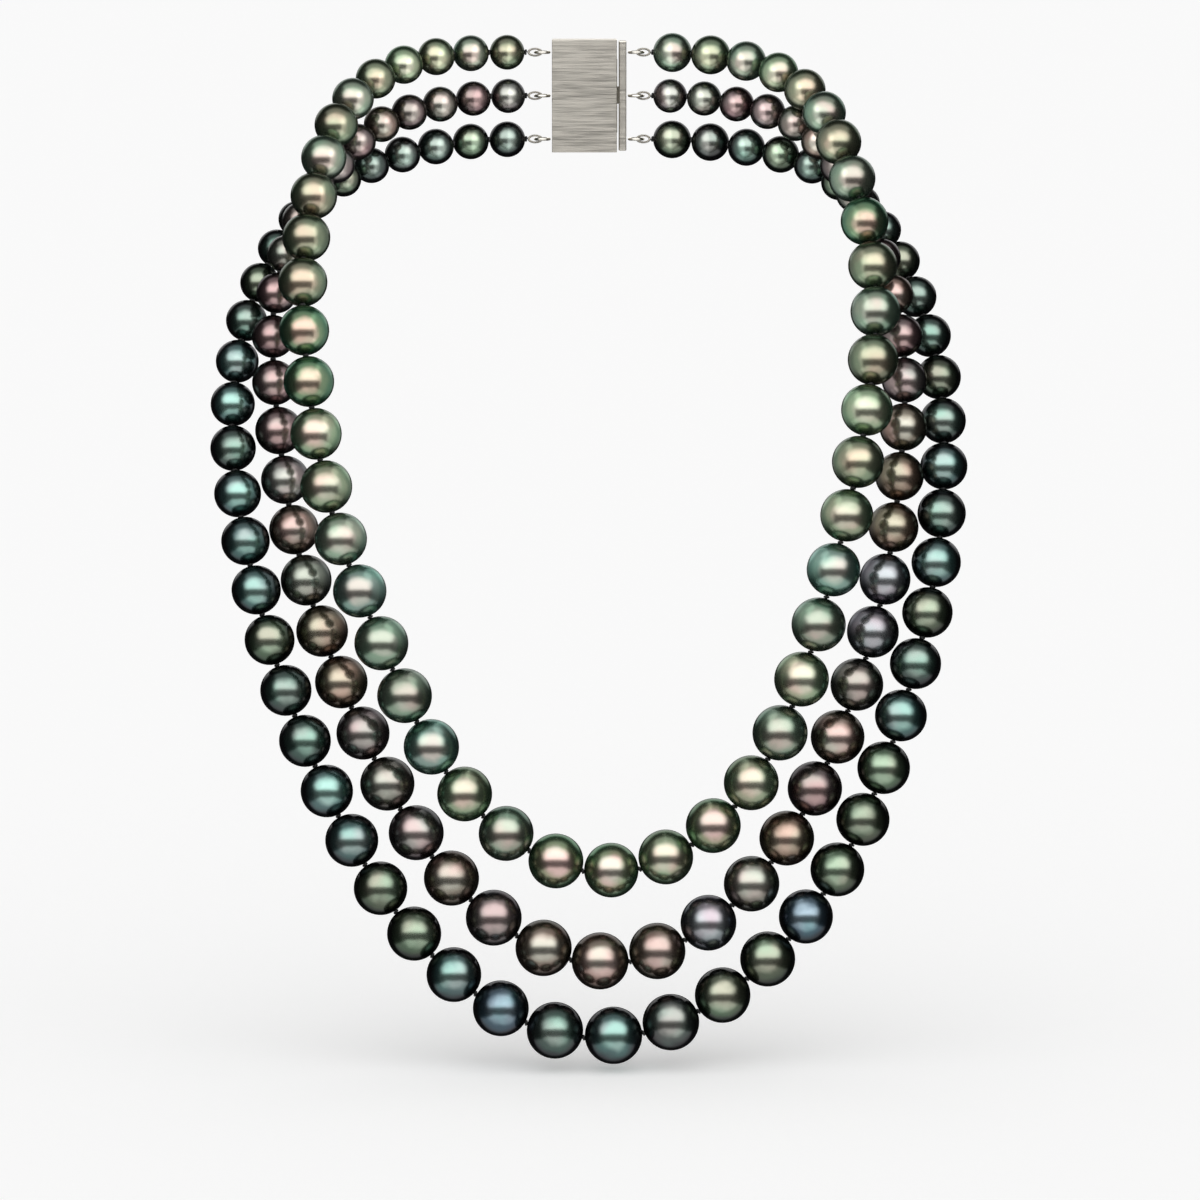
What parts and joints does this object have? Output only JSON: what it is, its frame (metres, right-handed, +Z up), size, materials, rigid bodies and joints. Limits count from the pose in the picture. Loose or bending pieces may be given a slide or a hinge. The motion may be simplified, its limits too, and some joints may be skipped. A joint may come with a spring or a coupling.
{
  "type": "pearl necklace",
  "caption": "Graduated multi-strand necklace of round dark pearls on knotted silk, hanging as worn, with a rectangular box clasp at the nape.",
  "frame": {"origin": "on the axis of the wearer's neck, level with the clasp's middle row", "axes": "+Z up along the neck; the front of the necklace faces -Y; +X is the wearer's left, the side with the tongue"},
  "size_m": [0.168, 0.1141, 0.2196],
  "materials": {
    "inner_nacre": "polished pearl, pistachio and grey-green overtones",
    "middle_nacre": "polished pearl, aubergine and brown-grey overtones",
    "outer_nacre": "polished pearl, dark peacock and charcoal overtones",
    "white_gold": "polished white metal",
    "french_wire": "fine coiled wire, satin"
  },
  "bodies": {
    "box_side": {"box_gimp_inner": "french_wire", "box_gimp_middle": "french_wire", "box_gimp_outer": "french_wire", "box_ring_inner": "white_gold", "box_ring_middle": "white_gold", "box_ring_outer": "white_gold", "clasp_back_plate": "white_gold", "clasp_box": "white_gold", "inner_side_right_1": "inner_nacre", "inner_side_right_2": "inner_nacre", "inner_side_right_3": "inner_nacre", "middle_side_right_1": "middle_nacre", "middle_side_right_2": "middle_nacre", "middle_side_right_3": "middle_nacre", "middle_side_right_4": "middle_nacre", "outer_side_right_1": "outer_nacre", "outer_side_right_2": "outer_nacre", "outer_side_right_3": "outer_nacre", "outer_side_right_4": "outer_nacre"},
    "inner_upper_front": {"inner_front_upper_left": "inner_nacre", "inner_front_upper_right": "inner_nacre"},
    "inner_middle_front": {"inner_front_middle_left": "inner_nacre", "inner_front_middle_right": "inner_nacre"},
    "inner_centre_front": {"inner_front_centre": "inner_nacre"},
    "inner_left_side": {"inner_side_left_1": "inner_nacre", "inner_side_left_2": "inner_nacre"},
    "middle_upper_front": {"middle_front_upper_left": "middle_nacre", "middle_front_upper_right": "middle_nacre"},
    "middle_middle_front": {"middle_front_middle_left": "middle_nacre", "middle_front_middle_right": "middle_nacre"},
    "middle_centre_front": {"middle_front_centre": "middle_nacre"},
    "middle_left_side": {"middle_side_left_1": "middle_nacre", "middle_side_left_2": "middle_nacre", "middle_side_left_3": "middle_nacre"},
    "outer_upper_front": {"outer_front_upper_left": "outer_nacre", "outer_front_upper_right": "outer_nacre"},
    "outer_middle_front": {"outer_front_middle_left": "outer_nacre", "outer_front_middle_right": "outer_nacre"},
    "outer_centre_front": {"outer_front_centre": "outer_nacre"},
    "outer_left_side": {"outer_side_left_1": "outer_nacre", "outer_side_left_2": "outer_nacre", "outer_side_left_3": "outer_nacre"},
    "tongue_side": {"inner_nape": "inner_nacre", "middle_nape": "middle_nacre", "outer_nape": "outer_nacre", "tongue_gimp_inner": "french_wire", "tongue_gimp_middle": "french_wire", "tongue_gimp_outer": "french_wire", "tongue_ring_inner": "white_gold", "tongue_ring_middle": "white_gold", "tongue_ring_outer": "white_gold", "clasp_end_bar": "white_gold", "clasp_tongue": "white_gold"},
    "thumb_press": {"clasp_spring_leaf": "white_gold", "clasp_thumb_tab": "white_gold"}
  },
  "joints": [
    {"name": "clasp_release", "type": "slide", "parent": "box_side", "child": "tongue_side", "axis": [1, 0, 0], "range_m": [0, 0.0066], "deforming": ["clasp_spring_leaf"]},
    {"name": "tab_press", "type": "hinge", "parent": "tongue_side", "child": "thumb_press", "pos_m": [0.0005, 0.0611, 0], "axis": [0, 0, -1], "range_deg": [0, 10.5], "stiffness_Nm_per_rad": 0.05, "springref_deg": -5.73, "deforming": ["clasp_spring_leaf"]},
    {"name": "inner_side_swing", "type": "hinge", "parent": "box_side", "child": "inner_left_side", "pos_m": [0.05197, -0.02737, -0.10471], "axis": [0, 1, 0], "range_deg": [0, 3.61]},
    {"name": "middle_side_swing", "type": "hinge", "parent": "box_side", "child": "middle_left_side", "pos_m": [0.05246, -0.0247, -0.14193], "axis": [0, 1, 0], "range_deg": [0, 2.91]},
    {"name": "outer_side_swing", "type": "hinge", "parent": "box_side", "child": "outer_left_side", "pos_m": [0.0514, -0.03343, -0.16952], "axis": [0, 1, 0], "range_deg": [0, 2.48]},
    {"name": "inner_upper_lift", "type": "hinge", "parent": "box_side", "child": "inner_upper_front", "pos_m": [0.00214, -0.02757, -0.10688], "axis": [-0.999, -0.0039, -0.0436], "range_deg": [0, 28]},
    {"name": "inner_middle_lift", "type": "hinge", "parent": "inner_upper_front", "child": "inner_middle_front", "pos_m": [0.00349, -0.03006, -0.13019], "axis": [-0.9992, -0.0106, -0.0398], "range_deg": [0, 28]},
    {"name": "inner_centre_lift", "type": "hinge", "parent": "inner_middle_front", "child": "inner_centre_front", "pos_m": [0.00447, -0.03077, -0.15162], "axis": [-0.9993, -0.0078, -0.0374], "range_deg": [0, 28]},
    {"name": "middle_upper_lift", "type": "hinge", "parent": "box_side", "child": "middle_upper_front", "pos_m": [0.00264, -0.02355, -0.14163], "axis": [-0.9997, 0.0231, 0.006], "range_deg": [0, 28]},
    {"name": "middle_middle_lift", "type": "hinge", "parent": "middle_upper_front", "child": "middle_middle_front", "pos_m": [0.00283, -0.02982, -0.16253], "axis": [-0.9995, 0.0295, 0.0114], "range_deg": [0, 28]},
    {"name": "middle_centre_lift", "type": "hinge", "parent": "middle_middle_front", "child": "middle_centre_front", "pos_m": [0.00267, -0.03516, -0.179], "axis": [-0.9992, 0.0362, 0.0194], "range_deg": [0, 28]},
    {"name": "outer_upper_lift", "type": "hinge", "parent": "box_side", "child": "outer_upper_front", "pos_m": [0.00463, -0.03415, -0.17136], "axis": [-0.9991, -0.0154, -0.0394], "range_deg": [0, 28]},
    {"name": "outer_middle_lift", "type": "hinge", "parent": "outer_upper_front", "child": "outer_middle_front", "pos_m": [0.00496, -0.03948, -0.18887], "axis": [-0.9983, -0.0332, -0.0488], "range_deg": [0, 28]},
    {"name": "outer_centre_lift", "type": "hinge", "parent": "outer_middle_front", "child": "outer_centre_front", "pos_m": [0.00519, -0.0418, -0.19523], "axis": [-0.9974, -0.0411, -0.0594], "range_deg": [0, 28]}
  ],
  "couplings": [
    {"joint": "inner_side_swing", "follows": "clasp_release", "rad_per_m": 9.512},
    {"joint": "middle_side_swing", "follows": "clasp_release", "rad_per_m": 7.6602},
    {"joint": "outer_side_swing", "follows": "clasp_release", "rad_per_m": 6.5314}
  ]
}
